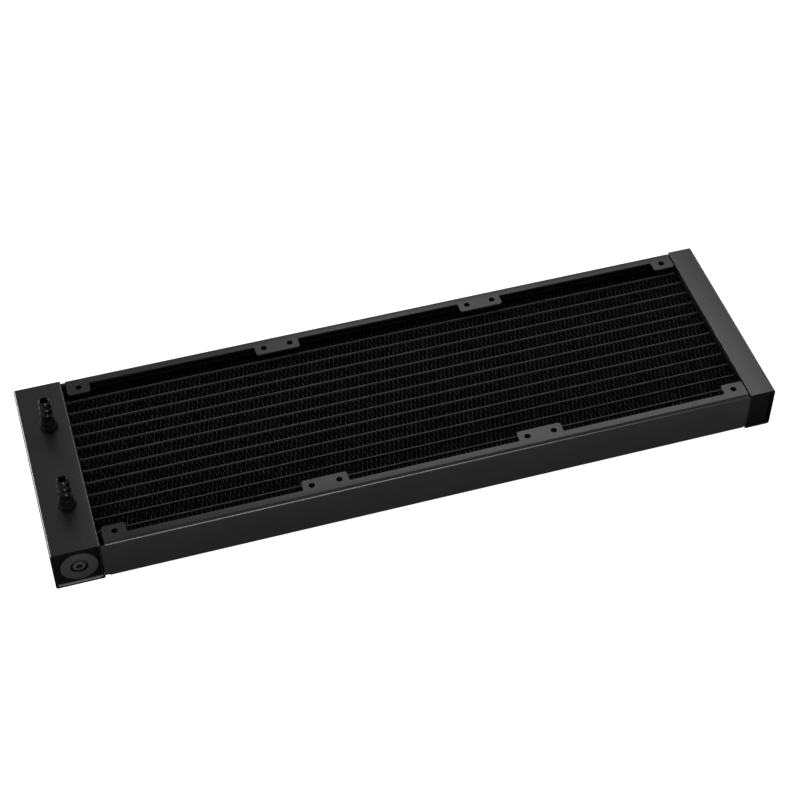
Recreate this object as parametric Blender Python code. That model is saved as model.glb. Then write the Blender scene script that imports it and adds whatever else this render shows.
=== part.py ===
"""Aluminium liquid cooling radiator for three 120 mm fans.

Two end tanks are joined by a brazed core of flat tubes and corrugated fins. Two folded rails, with screw
holes in their tabs, frame the core. The wide tank carries both hose barbs and a pressure relief port, and a
baffle splits it into an inlet and an outlet chamber, so the coolant runs out through half of the tubes and
back through the other half.

Metres, +Z up. The origin is the middle of the radiator's bottom face. +X runs from the wide tank to the
return tank, "near" is -Y, where the relief port is, "far" is +Y, and the barbs point to +Z.
"""

import math

import bmesh
import bpy
from mathutils import Matrix, Vector

MM = 0.001

# Overall size
LENGTH = 402 * MM
WIDTH = 120 * MM
THICKNESS = 27 * MM
FIT = 0.2 * MM  # clearance between two pieces that are brazed, pressed or screwed together

# End tanks: a C section with two lips, closed by a header plate between the lips
WIDE_TANK = 26 * MM
RETURN_TANK = 14.5 * MM
TANK_WALL = 1.5 * MM
TANK_EDGE_RADIUS = 1.5 * MM
LIP_HEIGHT = 3.3 * MM  # from the tank's outside to the lip's edge
HEADER_STEP = 0.7 * MM  # how far the header plate stands out of the lips, between the rails
CAP_THICKNESS = 1.5 * MM
CAP_RECESS = 2.0 * MM

# Core
TUBES = 12
TUBE_PITCH = 8.6 * MM
TUBE_THICKNESS = 1.8 * MM
TUBE_WALL = 0.35 * MM
TUBE_DEPTH = 18 * MM  # along the air flow
TUBE_INSERTION = 3.5 * MM  # from the tank's inner side to the tube's end
FIN_DEPTH = 17.2 * MM
FIN_END_GAP = 0.6 * MM
FIN_FOLDS = 96
FIN_SHEET = 0.26 * MM
SIDE_CHANNEL_SHEET = 1.0 * MM

# Frame rails
RAIL_WIDTH = 120 * MM  # over both rails
RAIL_SHEET = 1.2 * MM
RAIL_EDGE_RADIUS = 2.0 * MM
FLANGE_LENGTH = 358 * MM  # along the rail; its wall runs on to the tanks
FLANGE_WIDTH = 5.4 * MM
TAB_REACH = 11.9 * MM  # from the rail's outside to the tab's edge
TAB_CORNER_RADIUS = 1.4 * MM

# Fan screw holes
FANS = 3
FAN_ROW_CENTRE = 6.5 * MM
FAN_PITCH = 120 * MM
FAN_HOLE_SPACING = 105 * MM
SCREW_HOLE_RADIUS = 1.7 * MM
END_TAB_WIDTH = 12.5 * MM
MIDDLE_TAB_WIDTH = 25 * MM

# Hose fittings, measured up from the tank's top face
FITTING_OFFSET = 28.5 * MM  # from the middle of the tank to each fitting
FITTING_SHIFT = 1.7 * MM  # from the tank's centre line towards the core
FITTING_HEIGHT = 20.8 * MM
FITTING_BORE_RADIUS = 2.1 * MM
FITTING_MOUTH_RADIUS = 2.6 * MM
SHANK_RADIUS = 3.1 * MM
SHANK_LENGTH = 4.6 * MM
SEAL_HEIGHT = 0.6 * MM
SEAL_RADIUS = 3.6 * MM
HEX_ACROSS_FLATS = 8.6 * MM
HEX_TOP = 2.8 * MM
HEX_TURN = math.radians(-10)
COLLAR_RADIUS = 3.7 * MM
COLLAR_TOP = 6.9 * MM
BARBS = 3
BARB_START = 10.8 * MM
BARB_PITCH = 4.1 * MM
BARB_ROOT_RADIUS = 3.2 * MM
BARB_RIDGE_RADIUS = 3.8 * MM
BARB_NARROWING = 0.2 * MM  # from one barb to the next
BOSS_RADIUS = 7 * MM
BOSS_HEIGHT = 3.2 * MM

# Pressure relief port in the near end cap, measured in from the tank's end
PORT_SHIFT = 0.8 * MM  # from the tank's centre line towards the core
DISC_RADIUS = 9.9 * MM
DISC_FACE = 0.4 * MM
DISC_WELL_RADIUS = 4.7 * MM
DISC_WELL_FLOOR = 2.4 * MM
NECK_RADIUS = 5.6 * MM
NECK_BORE_RADIUS = 2.7 * MM
NECK_END = 14 * MM
PLUG_HEAD_RADIUS = 3.7 * MM
PLUG_FACE = 0.6 * MM
PLUG_SHANK_RADIUS = 2.5 * MM
PLUG_END = 9.5 * MM
PLUG_SOCKET_FLATS = 2.5 * MM
PLUG_SOCKET_DEPTH = 1.3 * MM
VENT_RADIUS = 0.7 * MM
RELIEF_GASKET_RADIUS = 8.5 * MM
RELIEF_GASKET_THICKNESS = 1.0 * MM
LOCK_NUT_FLATS = 15 * MM
LOCK_NUT_THICKNESS = 2.6 * MM
BLADDER_WALL = 1.0 * MM
BLADDER_LENGTH = 28 * MM

# Worked out from the above
TANK_LEFT = -LENGTH / 2
TANK_RIGHT = LENGTH / 2
BAY_LEFT = TANK_LEFT + WIDE_TANK
BAY_RIGHT = TANK_RIGHT - RETURN_TANK
HEADER_THICKNESS = TANK_WALL + HEADER_STEP
MID_HEIGHT = THICKNESS / 2
CORE_BOTTOM = MID_HEIGHT - TUBE_DEPTH / 2
FIN_HEIGHT = TUBE_PITCH - TUBE_THICKNESS
PORT_X = TANK_LEFT + WIDE_TANK / 2 + PORT_SHIFT
FITTING_X = TANK_LEFT + WIDE_TANK / 2 + FITTING_SHIFT

CURVE_STEPS = 3  # straight pieces in a quarter round
ROUND_STEPS = 16  # straight pieces in a full round
HOLE_STEPS = 12

BLACK_PAINT = ("black_paint", (0.024, 0.024, 0.025), 0.45, 0.0)
CORE_PAINT = ("core_paint", (0.012, 0.012, 0.013), 0.55, 0.0)
BLACK_ANODISED = ("black_anodised", (0.016, 0.016, 0.017), 0.35, 0.6)
RELIEF_GREY = ("relief_grey", (0.045, 0.045, 0.047), 0.6, 0.0)
BARE_ALUMINIUM = ("bare_aluminium", (0.60, 0.61, 0.62), 0.4, 1.0)
RUBBER = ("rubber", (0.015, 0.015, 0.015), 0.8, 0.0)


# ---------------------------------------------------------------- outlines


def rounded(corners, steps=CURVE_STEPS):
    """The outline through corners (x, y, radius), each rounded by an arc of its radius."""
    points = []
    for i, (x, y, radius) in enumerate(corners):
        corner = Vector((x, y))
        if radius == 0:
            points.append(corner)
            continue
        back = (Vector(corners[i - 1][:2]) - corner).normalized()
        ahead = (Vector(corners[(i + 1) % len(corners)][:2]) - corner).normalized()
        half_angle = back.angle(ahead) / 2
        centre = corner + (back + ahead).normalized() * (radius / math.sin(half_angle))
        start = corner + back * (radius / math.tan(half_angle)) - centre
        turn = math.pi - 2 * half_angle
        if back.x * ahead.y - back.y * ahead.x > 0:
            turn = -turn
        for step in range(steps + 1):
            points.append(centre + Matrix.Rotation(turn * step / steps, 2) @ start)
    return points


def rectangle(x0, x1, y0, y1, radius=0.0, steps=CURVE_STEPS):
    return rounded([(x0, y0, radius), (x1, y0, radius), (x1, y1, radius), (x0, y1, radius)], steps)


def ring_of(radius, steps=ROUND_STEPS, centre=(0.0, 0.0), turn=0.0):
    """A regular outline of that many corners. A hexagon is the same with 6 steps."""
    angles = [turn + math.tau * i / steps for i in range(steps)]
    return [Vector((centre[0] + radius * math.cos(a), centre[1] + radius * math.sin(a))) for a in angles]


def hexagon(across_flats, turn=0.0):
    return ring_of(across_flats / math.sqrt(3), 6, turn=turn)


# ---------------------------------------------------------------- solids


def slab(outlines, depth):
    """A mesh of the first outline, less the others, from z = 0 to z = depth."""
    mesh = bmesh.new()
    edges = []
    for outline in outlines:
        verts = [mesh.verts.new((p[0], p[1], 0.0)) for p in outline]
        edges += [mesh.edges.new((v, verts[(i + 1) % len(verts)])) for i, v in enumerate(verts)]
    filled = bmesh.ops.triangle_fill(mesh, use_beauty=True, edges=edges, normal=(0, 0, 1))
    faces = [f for f in filled["geom"] if isinstance(f, bmesh.types.BMFace)]
    raised = bmesh.ops.extrude_face_region(mesh, geom=faces, use_keep_orig=True)
    top = [v for v in raised["geom"] if isinstance(v, bmesh.types.BMVert)]
    bmesh.ops.translate(mesh, verts=top, vec=(0, 0, depth))
    bmesh.ops.recalc_face_normals(mesh, faces=mesh.faces)
    return mesh


def turned(profile, steps=ROUND_STEPS, is_loop=True):
    """The profile (radius, z) turned round Z. One that isn't a loop starts and ends on the axis."""
    mesh = bmesh.new()
    verts = [mesh.verts.new((radius, 0.0, z)) for radius, z in profile]
    ends = len(verts) if is_loop else len(verts) - 1
    edges = [mesh.edges.new((verts[i], verts[(i + 1) % len(verts)])) for i in range(ends)]
    bmesh.ops.spin(
        mesh, geom=verts + edges, cent=(0, 0, 0), axis=(0, 0, 1), angle=math.tau, steps=steps, use_merge=True
    )
    bmesh.ops.remove_doubles(mesh, verts=mesh.verts, dist=1e-7)
    bmesh.ops.dissolve_degenerate(mesh, edges=mesh.edges, dist=1e-7)
    bmesh.ops.recalc_face_normals(mesh, faces=mesh.faces)
    return mesh


def joined(meshes):
    """Several separate meshes as one, for a cutter or for pieces that a union joins to their object."""
    whole = bmesh.new()
    for mesh in meshes:
        part = bpy.data.meshes.new("part")
        mesh.to_mesh(part)
        mesh.free()
        whole.from_mesh(part)
        bpy.data.meshes.remove(part)
    return whole


def moved(mesh, offset):
    bmesh.ops.translate(mesh, verts=mesh.verts, vec=offset)
    return mesh


# ---------------------------------------------------------------- objects

ALONG_X = (math.pi / 2, 0.0, math.pi / 2)  # local x, y, z become Y, Z, X
ALONG_MINUS_Y = (math.pi / 2, 0.0, 0.0)  # local x, y, z become X, Z, -Y
ALONG_Y = (-math.pi / 2, 0.0, 0.0)  # local x, y, z become X, -Z, Y
UPRIGHT = (0.0, 0.0, 0.0)


def material(finish):
    name, colour, roughness, metallic = finish
    if name in bpy.data.materials:
        return bpy.data.materials[name]
    made = bpy.data.materials.new(name)
    made.use_nodes = True
    shader = made.node_tree.nodes["Principled BSDF"]
    shader.inputs["Base Color"].default_value = (*colour, 1.0)
    shader.inputs["Roughness"].default_value = roughness
    shader.inputs["Metallic"].default_value = metallic
    made.diffuse_color = (*colour, 1.0)
    return made


def add(name, mesh, finish, location=(0, 0, 0), rotation=UPRIGHT, smooth=False):
    """The mesh as a named object at a place in the radiator."""
    data = bpy.data.meshes.new(name)
    mesh.to_mesh(data)
    mesh.free()
    if smooth:
        data.shade_smooth()
        data.set_sharp_from_angle(angle=math.radians(35))
    data.materials.append(material(finish))
    made = bpy.data.objects.new(name, data)
    made.location = location
    made.rotation_euler = rotation
    bpy.context.scene.collection.objects.link(made)
    return made


def combine(target, mesh, operation):
    """Joins the mesh to the target or cuts it away. The mesh is in the target's own axes."""
    name = f"{target.name}_{operation.lower()}"
    helper = add(name, mesh, BARE_ALUMINIUM, target.location, target.rotation_euler)
    helper.hide_render = True
    helper.display_type = "WIRE"
    modifier = target.modifiers.new(operation.lower(), "BOOLEAN")
    modifier.operation = operation
    modifier.object = helper
    modifier.solver = "EXACT"


# ---------------------------------------------------------------- tanks


def tank_section(width):
    """The C section of a tank, x from its closed side to its lips, y up."""
    edge, wall = TANK_EDGE_RADIUS, TANK_WALL
    return rounded(
        [
            (0, 0, edge),
            (width, 0, edge),
            (width, LIP_HEIGHT, 0),
            (width - wall, LIP_HEIGHT, 0),
            (width - wall, wall, 0),
            (wall, wall, 0),
            (wall, THICKNESS - wall, 0),
            (width - wall, THICKNESS - wall, 0),
            (width - wall, THICKNESS - LIP_HEIGHT, 0),
            (width, THICKNESS - LIP_HEIGHT, 0),
            (width, THICKNESS, edge),
            (0, THICKNESS, edge),
        ]
    )


def tank_shells():
    wide = add(
        "wide_tank_shell",
        slab([tank_section(WIDE_TANK)], WIDTH),
        BLACK_PAINT,
        (TANK_LEFT, WIDTH / 2, 0),
        ALONG_MINUS_Y,
        smooth=True,
    )
    x, bottom = FITTING_X - TANK_LEFT, THICKNESS - 2 * TANK_WALL
    shank_holes = [
        upright_cutter((x, bottom, WIDTH / 2 + y), SHANK_RADIUS + FIT, 3 * TANK_WALL)
        for y in (-FITTING_OFFSET, FITTING_OFFSET)
    ]
    combine(wide, joined(shank_holes), "DIFFERENCE")
    mirrored_section = [Vector((-p.x, p.y)) for p in tank_section(RETURN_TANK)]
    add(
        "return_tank_shell",
        slab([mirrored_section], WIDTH),
        BLACK_PAINT,
        (TANK_RIGHT, WIDTH / 2, 0),
        ALONG_MINUS_Y,
        smooth=True,
    )


def upright_cutter(base, radius, depth):
    """A round cutter along the tank section's y, that is upwards, from a point in the section's own axes."""
    cutter = slab([ring_of(radius)], depth)
    upwards = Matrix.Rotation(-math.pi / 2, 3, "X")
    bmesh.ops.rotate(cutter, verts=cutter.verts, cent=(0, 0, 0), matrix=upwards)
    return moved(cutter, base)


def tube_centres():
    first = -(TUBES - 1) / 2 * TUBE_PITCH
    return [first + i * TUBE_PITCH for i in range(TUBES)]


def stadium(centre, thickness, depth):
    """The outline of a flat tube in Y and Z, its ends full rounds."""
    low, high = centre - thickness / 2, centre + thickness / 2
    radius = thickness / 2 * 0.999
    return rectangle(low, high, MID_HEIGHT - depth / 2, MID_HEIGHT + depth / 2, radius, steps=2)


def header_plates():
    bottom, top = LIP_HEIGHT + FIT, THICKNESS - LIP_HEIGHT - FIT
    slots = [stadium(y, TUBE_THICKNESS + 2 * FIT, TUBE_DEPTH + 2 * FIT) for y in tube_centres()]
    rail_inside = RAIL_WIDTH / 2 - RAIL_SHEET - FIT
    # Each plate's lowest X, and where its cutters start from there. The cutters leave the plate's ends flush
    # with the lips, to make room for the rails' walls.
    places = {"wide": (BAY_LEFT - TANK_WALL, TANK_WALL), "return": (BAY_RIGHT - HEADER_STEP, -TANK_WALL)}
    for tank, (x, step) in places.items():
        blank = slab([rectangle(-WIDTH / 2, WIDTH / 2, bottom, top), *slots], HEADER_THICKNESS)
        plate = add(f"{tank}_header_plate", blank, BLACK_PAINT, (x, 0, 0), ALONG_X)
        ends = [
            moved(slab([rectangle(y, y + WIDTH / 2, 0, THICKNESS)], HEADER_THICKNESS), (0, 0, step))
            for y in (rail_inside, -rail_inside - WIDTH / 2)
        ]
        combine(plate, joined(ends), "DIFFERENCE")


def tank_room(left, right):
    """The inside of a tank in X and Z, as an outline in metres from X = 0."""
    wall = TANK_WALL + FIT
    return rectangle(left + wall, right - wall, wall, THICKNESS - wall)


def end_caps():
    tanks = {"wide": (TANK_LEFT, BAY_LEFT), "return": (BAY_RIGHT, TANK_RIGHT)}
    for tank, (left, right) in tanks.items():
        for side in ("near", "far"):
            outlines = [tank_room(left, right)]
            if (tank, side) == ("wide", "near"):
                outlines.append(ring_of(NECK_RADIUS + FIT, centre=(PORT_X, MID_HEIGHT)))
            outside = WIDTH / 2 - CAP_RECESS
            y = -outside + CAP_THICKNESS if side == "near" else outside
            cap = slab(outlines, CAP_THICKNESS)
            add(f"{tank}_tank_{side}_cap", cap, BLACK_PAINT, (0, y, 0), ALONG_MINUS_Y)


def baffle():
    plate = slab([tank_room(TANK_LEFT, BAY_LEFT)], CAP_THICKNESS)
    add("wide_tank_baffle", plate, BARE_ALUMINIUM, (0, CAP_THICKNESS / 2, 0), ALONG_MINUS_Y)


# ---------------------------------------------------------------- core


def tubes():
    length = BAY_RIGHT - BAY_LEFT + 2 * TUBE_INSERTION
    bore = TUBE_THICKNESS - 2 * TUBE_WALL, TUBE_DEPTH - 2 * TUBE_WALL
    for number, y in enumerate(tube_centres(), 1):
        tube = slab([stadium(y, TUBE_THICKNESS, TUBE_DEPTH), stadium(y, *bore)], length)
        place = (BAY_LEFT - TUBE_INSERTION, 0, 0)
        add(f"flat_tube_{number:02d}", tube, CORE_PAINT, place, ALONG_X, smooth=True)


def fin_outline(length, height):
    """A sheet folded back and forth between y = 0 and y = height, along x."""
    step = length / FIN_FOLDS
    rise = FIN_SHEET * math.hypot(step, height) / step  # the sheet's thickness measured along y
    under = [Vector((i * step, height - rise if i % 2 else 0.0)) for i in range(FIN_FOLDS + 1)]
    over = [point + Vector((0.0, rise)) for point in under]
    return under + over[::-1]


def fins():
    left, right = BAY_LEFT + HEADER_STEP + FIN_END_GAP, BAY_RIGHT - HEADER_STEP - FIN_END_GAP
    first = -(TUBES + 1) / 2 * TUBE_PITCH + TUBE_THICKNESS / 2
    height = FIN_HEIGHT - FIT
    for number in range(TUBES + 1):
        fin = slab([fin_outline(right - left, height)], FIN_DEPTH)
        place = (left, first + number * TUBE_PITCH + FIT / 2, MID_HEIGHT - FIN_DEPTH / 2)
        add(f"fin_strip_{number + 1:02d}", fin, CORE_PAINT, place)


def side_channels():
    """Shallow channels that close the core beside its outer fins, their legs to the rails."""
    web = (TUBES + 1) / 2 * TUBE_PITCH - TUBE_THICKNESS / 2 + FIT
    legs = RAIL_WIDTH / 2 - RAIL_SHEET - FIT
    sheet, bottom, top = SIDE_CHANNEL_SHEET, CORE_BOTTOM, CORE_BOTTOM + TUBE_DEPTH
    section = [
        (web, bottom),
        (legs, bottom),
        (legs, bottom + sheet),
        (web + sheet, bottom + sheet),
        (web + sheet, top - sheet),
        (legs, top - sheet),
        (legs, top),
        (web, top),
    ]
    left = BAY_LEFT + HEADER_STEP + FIT
    length = BAY_RIGHT - HEADER_STEP - FIT - left
    for side, sign in (("near", -1), ("far", 1)):
        channel = slab([[(sign * y, z) for y, z in section]], length)
        add(f"core_side_channel_{side}", channel, CORE_PAINT, (left, 0, 0), ALONG_X)


# ---------------------------------------------------------------- rails


def screw_hole_places():
    """The fan screw holes' X."""
    fans = [FAN_ROW_CENTRE + (i - (FANS - 1) / 2) * FAN_PITCH for i in range(FANS)]
    return [fan + side * FAN_HOLE_SPACING / 2 for fan in fans for side in (-1, 1)]


def tab_spans():
    """Where the tabs start and end in X: two at the flanges' ends and one between each two fans."""
    left, right = FAN_ROW_CENTRE - FLANGE_LENGTH / 2, FAN_ROW_CENTRE + FLANGE_LENGTH / 2
    middles = [FAN_ROW_CENTRE + (i - (FANS - 2) / 2) * FAN_PITCH for i in range(FANS - 1)]
    spans = [(left, left + END_TAB_WIDTH), (right - END_TAB_WIDTH, right)]
    return spans + [(x - MIDDLE_TAB_WIDTH / 2, x + MIDDLE_TAB_WIDTH / 2) for x in middles]


# The rails' own axes are Y, Z and X of the radiator.


def rail_section(sign):
    """The rail's C section, its flanges towards the core."""
    outer, sheet, edge = RAIL_WIDTH / 2, RAIL_SHEET, RAIL_EDGE_RADIUS
    flange, inner = outer - FLANGE_WIDTH, outer - sheet
    corners = [
        (flange, 0, 0),
        (outer, 0, edge),
        (outer, THICKNESS, edge),
        (flange, THICKNESS, 0),
        (flange, THICKNESS - sheet, 0),
        (inner, THICKNESS - sheet, edge - sheet),
        (inner, sheet, edge - sheet),
        (flange, sheet, 0),
    ]
    return rounded([(sign * y, z, radius) for y, z, radius in corners])


def lying(mesh):
    """The mesh turned from its own x, y, z to x, z, y: its outline then lies flat in the radiator."""
    bmesh.ops.transform(mesh, matrix=Matrix(((1, 0, 0), (0, 0, 1), (0, 1, 0))).to_4x4(), verts=mesh.verts)
    bmesh.ops.reverse_faces(mesh, faces=mesh.faces)
    return mesh


def tab_plates(sign):
    outer, radius = RAIL_WIDTH / 2, TAB_CORNER_RADIUS
    root, tip = outer - FLANGE_WIDTH / 2, outer - TAB_REACH
    plates = []
    for start, end in tab_spans():
        corners = [(root, start, 0), (root, end, 0), (tip, end, radius), (tip, start, radius)]
        outline = rounded([(sign * y, x, r) for y, x, r in corners])
        for bottom in (0.0, THICKNESS - RAIL_SHEET):
            plates.append(moved(lying(slab([outline], RAIL_SHEET)), (0, bottom, 0)))
    return plates


def screw_cutters(sign):
    margin, y = 1 * MM, sign * FAN_HOLE_SPACING / 2
    holes = [ring_of(SCREW_HOLE_RADIUS, HOLE_STEPS, (y, x)) for x in screw_hole_places()]
    return [moved(lying(slab([hole], THICKNESS + 2 * margin)), (0, -margin, 0)) for hole in holes]


def flange_end_cutters(sign):
    """Cutters that end the flanges and their folds before the wall's ends."""
    margin, fold = 1 * MM, RAIL_EDGE_RADIUS + 0.1 * MM
    ends = [
        (BAY_LEFT - margin, FAN_ROW_CENTRE - FLANGE_LENGTH / 2),
        (FAN_ROW_CENTRE + FLANGE_LENGTH / 2, BAY_RIGHT + margin),
    ]
    across = sorted((sign * (RAIL_WIDTH / 2 - FLANGE_WIDTH - margin), sign * (RAIL_WIDTH / 2 + margin)))
    heights = [(-margin, fold), (THICKNESS - fold, THICKNESS + margin)]
    return [
        moved(slab([rectangle(*across, *height)], end - start), (0, 0, start))
        for start, end in ends
        for height in heights
    ]


def rails():
    left, right = BAY_LEFT + FIT, BAY_RIGHT - FIT
    for side, sign in (("near", -1), ("far", 1)):
        blank = moved(slab([rail_section(sign)], right - left), (0, 0, left))
        rail = add(f"frame_rail_{side}", blank, BLACK_PAINT, rotation=ALONG_X, smooth=True)
        combine(rail, joined(flange_end_cutters(sign)), "DIFFERENCE")
        combine(rail, joined(tab_plates(sign)), "UNION")
        combine(rail, joined(screw_cutters(sign)), "DIFFERENCE")


# ---------------------------------------------------------------- hose fittings


def fitting_profile():
    """Half of the fitting's section, (radius, height): bore, shank, collar, barbs and mouth."""
    bore, shank, collar = FITTING_BORE_RADIUS, SHANK_RADIUS, COLLAR_RADIUS
    profile = [(bore, -SHANK_LENGTH), (shank, -SHANK_LENGTH), (shank, SEAL_HEIGHT), (collar, SEAL_HEIGHT)]
    profile += [(collar, COLLAR_TOP), (BARB_ROOT_RADIUS, COLLAR_TOP + 0.3 * MM)]
    for barb in range(BARBS):
        start = BARB_START + barb * BARB_PITCH
        root = BARB_ROOT_RADIUS - barb * BARB_NARROWING
        ridge = BARB_RIDGE_RADIUS - barb * BARB_NARROWING
        profile += [(root, start), (ridge, start + 0.2 * MM), (ridge, start + 0.6 * MM)]
        if barb < BARBS - 1:
            profile.append((root - BARB_NARROWING, start + 3.3 * MM))
    return profile + [(FITTING_MOUTH_RADIUS, FITTING_HEIGHT), (bore, FITTING_HEIGHT)]


def hose_fittings():
    seal_section = [(SEAL_RADIUS + p.x, SEAL_HEIGHT / 2 + p.y) for p in ring_of(0.2 * MM, 6)]
    places = {"inlet": FITTING_OFFSET, "outlet": -FITTING_OFFSET}
    for name, y in places.items():
        top = (FITTING_X, y, THICKNESS)
        fitting = add(f"{name}_hose_fitting", turned(fitting_profile()), BLACK_ANODISED, top, smooth=True)
        outlines = [hexagon(HEX_ACROSS_FLATS, HEX_TURN), ring_of(SHANK_RADIUS)]
        hexagonal_ring = moved(slab(outlines, HEX_TOP - SEAL_HEIGHT), (0, 0, SEAL_HEIGHT))
        combine(fitting, hexagonal_ring, "UNION")
        add(f"{name}_fitting_seal", turned(seal_section), RUBBER, top, smooth=True)
        boss = slab([ring_of(BOSS_RADIUS), ring_of(SHANK_RADIUS + FIT)], BOSS_HEIGHT)
        under_wall = (FITTING_X, y, THICKNESS - TANK_WALL - FIT - BOSS_HEIGHT)
        add(f"{name}_fitting_boss", boss, BARE_ALUMINIUM, under_wall, smooth=True)


# ---------------------------------------------------------------- pressure relief port


def relief_port():
    """Disc and neck, vent plug, gasket, lock nut and bladder, each turned round an axis along +Y."""
    mouth = (PORT_X, -WIDTH / 2, MID_HEIGHT)
    cap_outside, cap_inside = CAP_RECESS, CAP_RECESS + CAP_THICKNESS
    disc = [
        (DISC_WELL_RADIUS, DISC_FACE),
        (DISC_RADIUS, DISC_FACE),
        (DISC_RADIUS, cap_outside - FIT),
        (NECK_RADIUS, cap_outside - FIT),
        (NECK_RADIUS, NECK_END),
        (NECK_BORE_RADIUS, NECK_END),
        (NECK_BORE_RADIUS, DISC_WELL_FLOOR),
        (DISC_WELL_RADIUS, DISC_WELL_FLOOR),
    ]
    add("relief_disc", turned(disc, 24), RELIEF_GREY, mouth, ALONG_Y, smooth=True)

    plug = [
        (VENT_RADIUS, PLUG_FACE),
        (PLUG_HEAD_RADIUS, PLUG_FACE),
        (PLUG_HEAD_RADIUS, DISC_WELL_FLOOR - FIT),
        (PLUG_SHANK_RADIUS, DISC_WELL_FLOOR - FIT),
        (PLUG_SHANK_RADIUS, PLUG_END),
        (VENT_RADIUS, PLUG_END),
    ]
    vent_plug = add("vent_plug", turned(plug), BLACK_ANODISED, mouth, ALONG_Y, smooth=True)
    socket = slab([hexagon(PLUG_SOCKET_FLATS)], PLUG_SOCKET_DEPTH + 1 * MM)
    combine(vent_plug, moved(socket, (0, 0, PLUG_FACE - 1 * MM)), "DIFFERENCE")

    hole = NECK_RADIUS + FIT
    gasket_start = cap_inside + FIT
    gasket = slab([ring_of(RELIEF_GASKET_RADIUS), ring_of(hole)], RELIEF_GASKET_THICKNESS)
    add("relief_gasket", moved(gasket, (0, 0, gasket_start)), RUBBER, mouth, ALONG_Y, smooth=True)
    nut_start = gasket_start + RELIEF_GASKET_THICKNESS + FIT
    nut = slab([hexagon(LOCK_NUT_FLATS), ring_of(hole)], LOCK_NUT_THICKNESS)
    add("relief_lock_nut", moved(nut, (0, 0, nut_start)), BARE_ALUMINIUM, mouth, ALONG_Y)

    start = nut_start + LOCK_NUT_THICKNESS + FIT
    end = start + BLADDER_LENGTH
    inner, outer, dome = hole, hole + BLADDER_WALL, 2 * MM
    bladder = [
        (0, end),
        (outer - dome, end),
        (outer, end - dome),
        (outer, start),
        (inner, start),
        (inner, end - dome - BLADDER_WALL / 2),
        (inner - dome, end - BLADDER_WALL),
        (0, end - BLADDER_WALL),
    ]
    add("relief_bladder", turned(bladder, is_loop=False), RUBBER, mouth, ALONG_Y, smooth=True)


def main():
    for old in list(bpy.data.objects):
        bpy.data.objects.remove(old)
    tank_shells()
    header_plates()
    end_caps()
    baffle()
    tubes()
    fins()
    side_channels()
    rails()
    hose_fittings()
    relief_port()


main()
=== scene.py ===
"""Looks of the liquid cooling radiator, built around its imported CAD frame.

Metres, in the CAD's own frame: +X from the wide tank to the return tank, -Y the side of the pressure
relief port, +Z towards the ends of the hose barbs. Every mesh is made in place, with its object at the
origin.
"""

import math
import random

import bmesh
import bpy
from mathutils import Matrix, Vector


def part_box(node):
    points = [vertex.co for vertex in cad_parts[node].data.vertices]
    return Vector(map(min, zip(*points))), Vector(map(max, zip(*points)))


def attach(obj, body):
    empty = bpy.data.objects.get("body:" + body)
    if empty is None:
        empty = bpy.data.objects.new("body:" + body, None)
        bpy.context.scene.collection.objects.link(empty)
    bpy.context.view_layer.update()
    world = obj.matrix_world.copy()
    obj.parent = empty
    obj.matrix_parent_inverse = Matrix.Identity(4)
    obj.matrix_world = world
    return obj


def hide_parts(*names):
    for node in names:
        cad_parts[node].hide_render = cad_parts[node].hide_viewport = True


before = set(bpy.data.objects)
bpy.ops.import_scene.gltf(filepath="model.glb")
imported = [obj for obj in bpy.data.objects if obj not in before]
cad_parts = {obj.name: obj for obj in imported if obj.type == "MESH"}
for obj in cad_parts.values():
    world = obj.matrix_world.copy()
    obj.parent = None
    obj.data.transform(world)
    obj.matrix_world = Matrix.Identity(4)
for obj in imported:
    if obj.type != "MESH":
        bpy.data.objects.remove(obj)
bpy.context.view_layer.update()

MM = 0.001
GAP = 0.05 * MM  # between pieces that are brazed, pressed or screwed together
SLACK = GAP / 9  # when places are compared

# Frame: where the CAD's pieces are
WIDE_LOW, WIDE_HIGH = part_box("wide_tank_shell")
RETURN_LOW, RETURN_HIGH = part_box("return_tank_shell")
THICKNESS = WIDE_HIGH.z
HALF_WIDTH = WIDE_HIGH.y
BAY_LEFT, BAY_RIGHT = WIDE_HIGH.x, RETURN_LOW.x
TUBES = [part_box(f"flat_tube_{i:02d}") for i in range(1, 13)]
FINS = [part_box(f"fin_strip_{i:02d}") for i in range(1, 14)]

# Tanks
TANK_WALL = 1.5 * MM
TANK_EDGE_RADIUS = 1.4 * MM
TANK_INNER_RADIUS = 0.5 * MM
LIP_HEIGHT = 3.3 * MM
WIDE_LIP_RADIUS = 0.8 * MM
RETURN_LIP_RADIUS = 0.3 * MM
RIM_SOFTENING = 0.15 * MM
BOTTOM_RIM_RADIUS = 1.2 * MM
CAP_FILLET = 0.7 * MM
CAP_CORNER_RADIUS = 0.9 * MM
CAP_OVERLAP = 0.12 * MM  # how far the fillet reaches into the seam round the cap

# Header plates
PANEL_RISE = 0.7 * MM
PANEL_HALF_WIDTH = 58.4 * MM
PANEL_CORNER_RADIUS = 0.8 * MM
TUBE_COLLAR_HEIGHT = 0.45 * MM
TUBE_COLLAR_WIDTH = 0.4 * MM

# Core
TUBE_WALL = 0.35 * MM
FIN_PITCH = 1.25 * MM  # from one wall of the fin to the next
FIN_SHEET = 0.12 * MM
LOUVRES = 7
LOUVRE_PITCH = 1.2 * MM
LOUVRE_LEAN = 0.12 * MM
FIN_FOLD_WIDTH = 0.32 * MM
FIN_FOLD_RISE = 0.14 * MM
FIN_CREST_RISE = 0.03 * MM
FIN_SCATTER = 0.18 * MM

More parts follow.
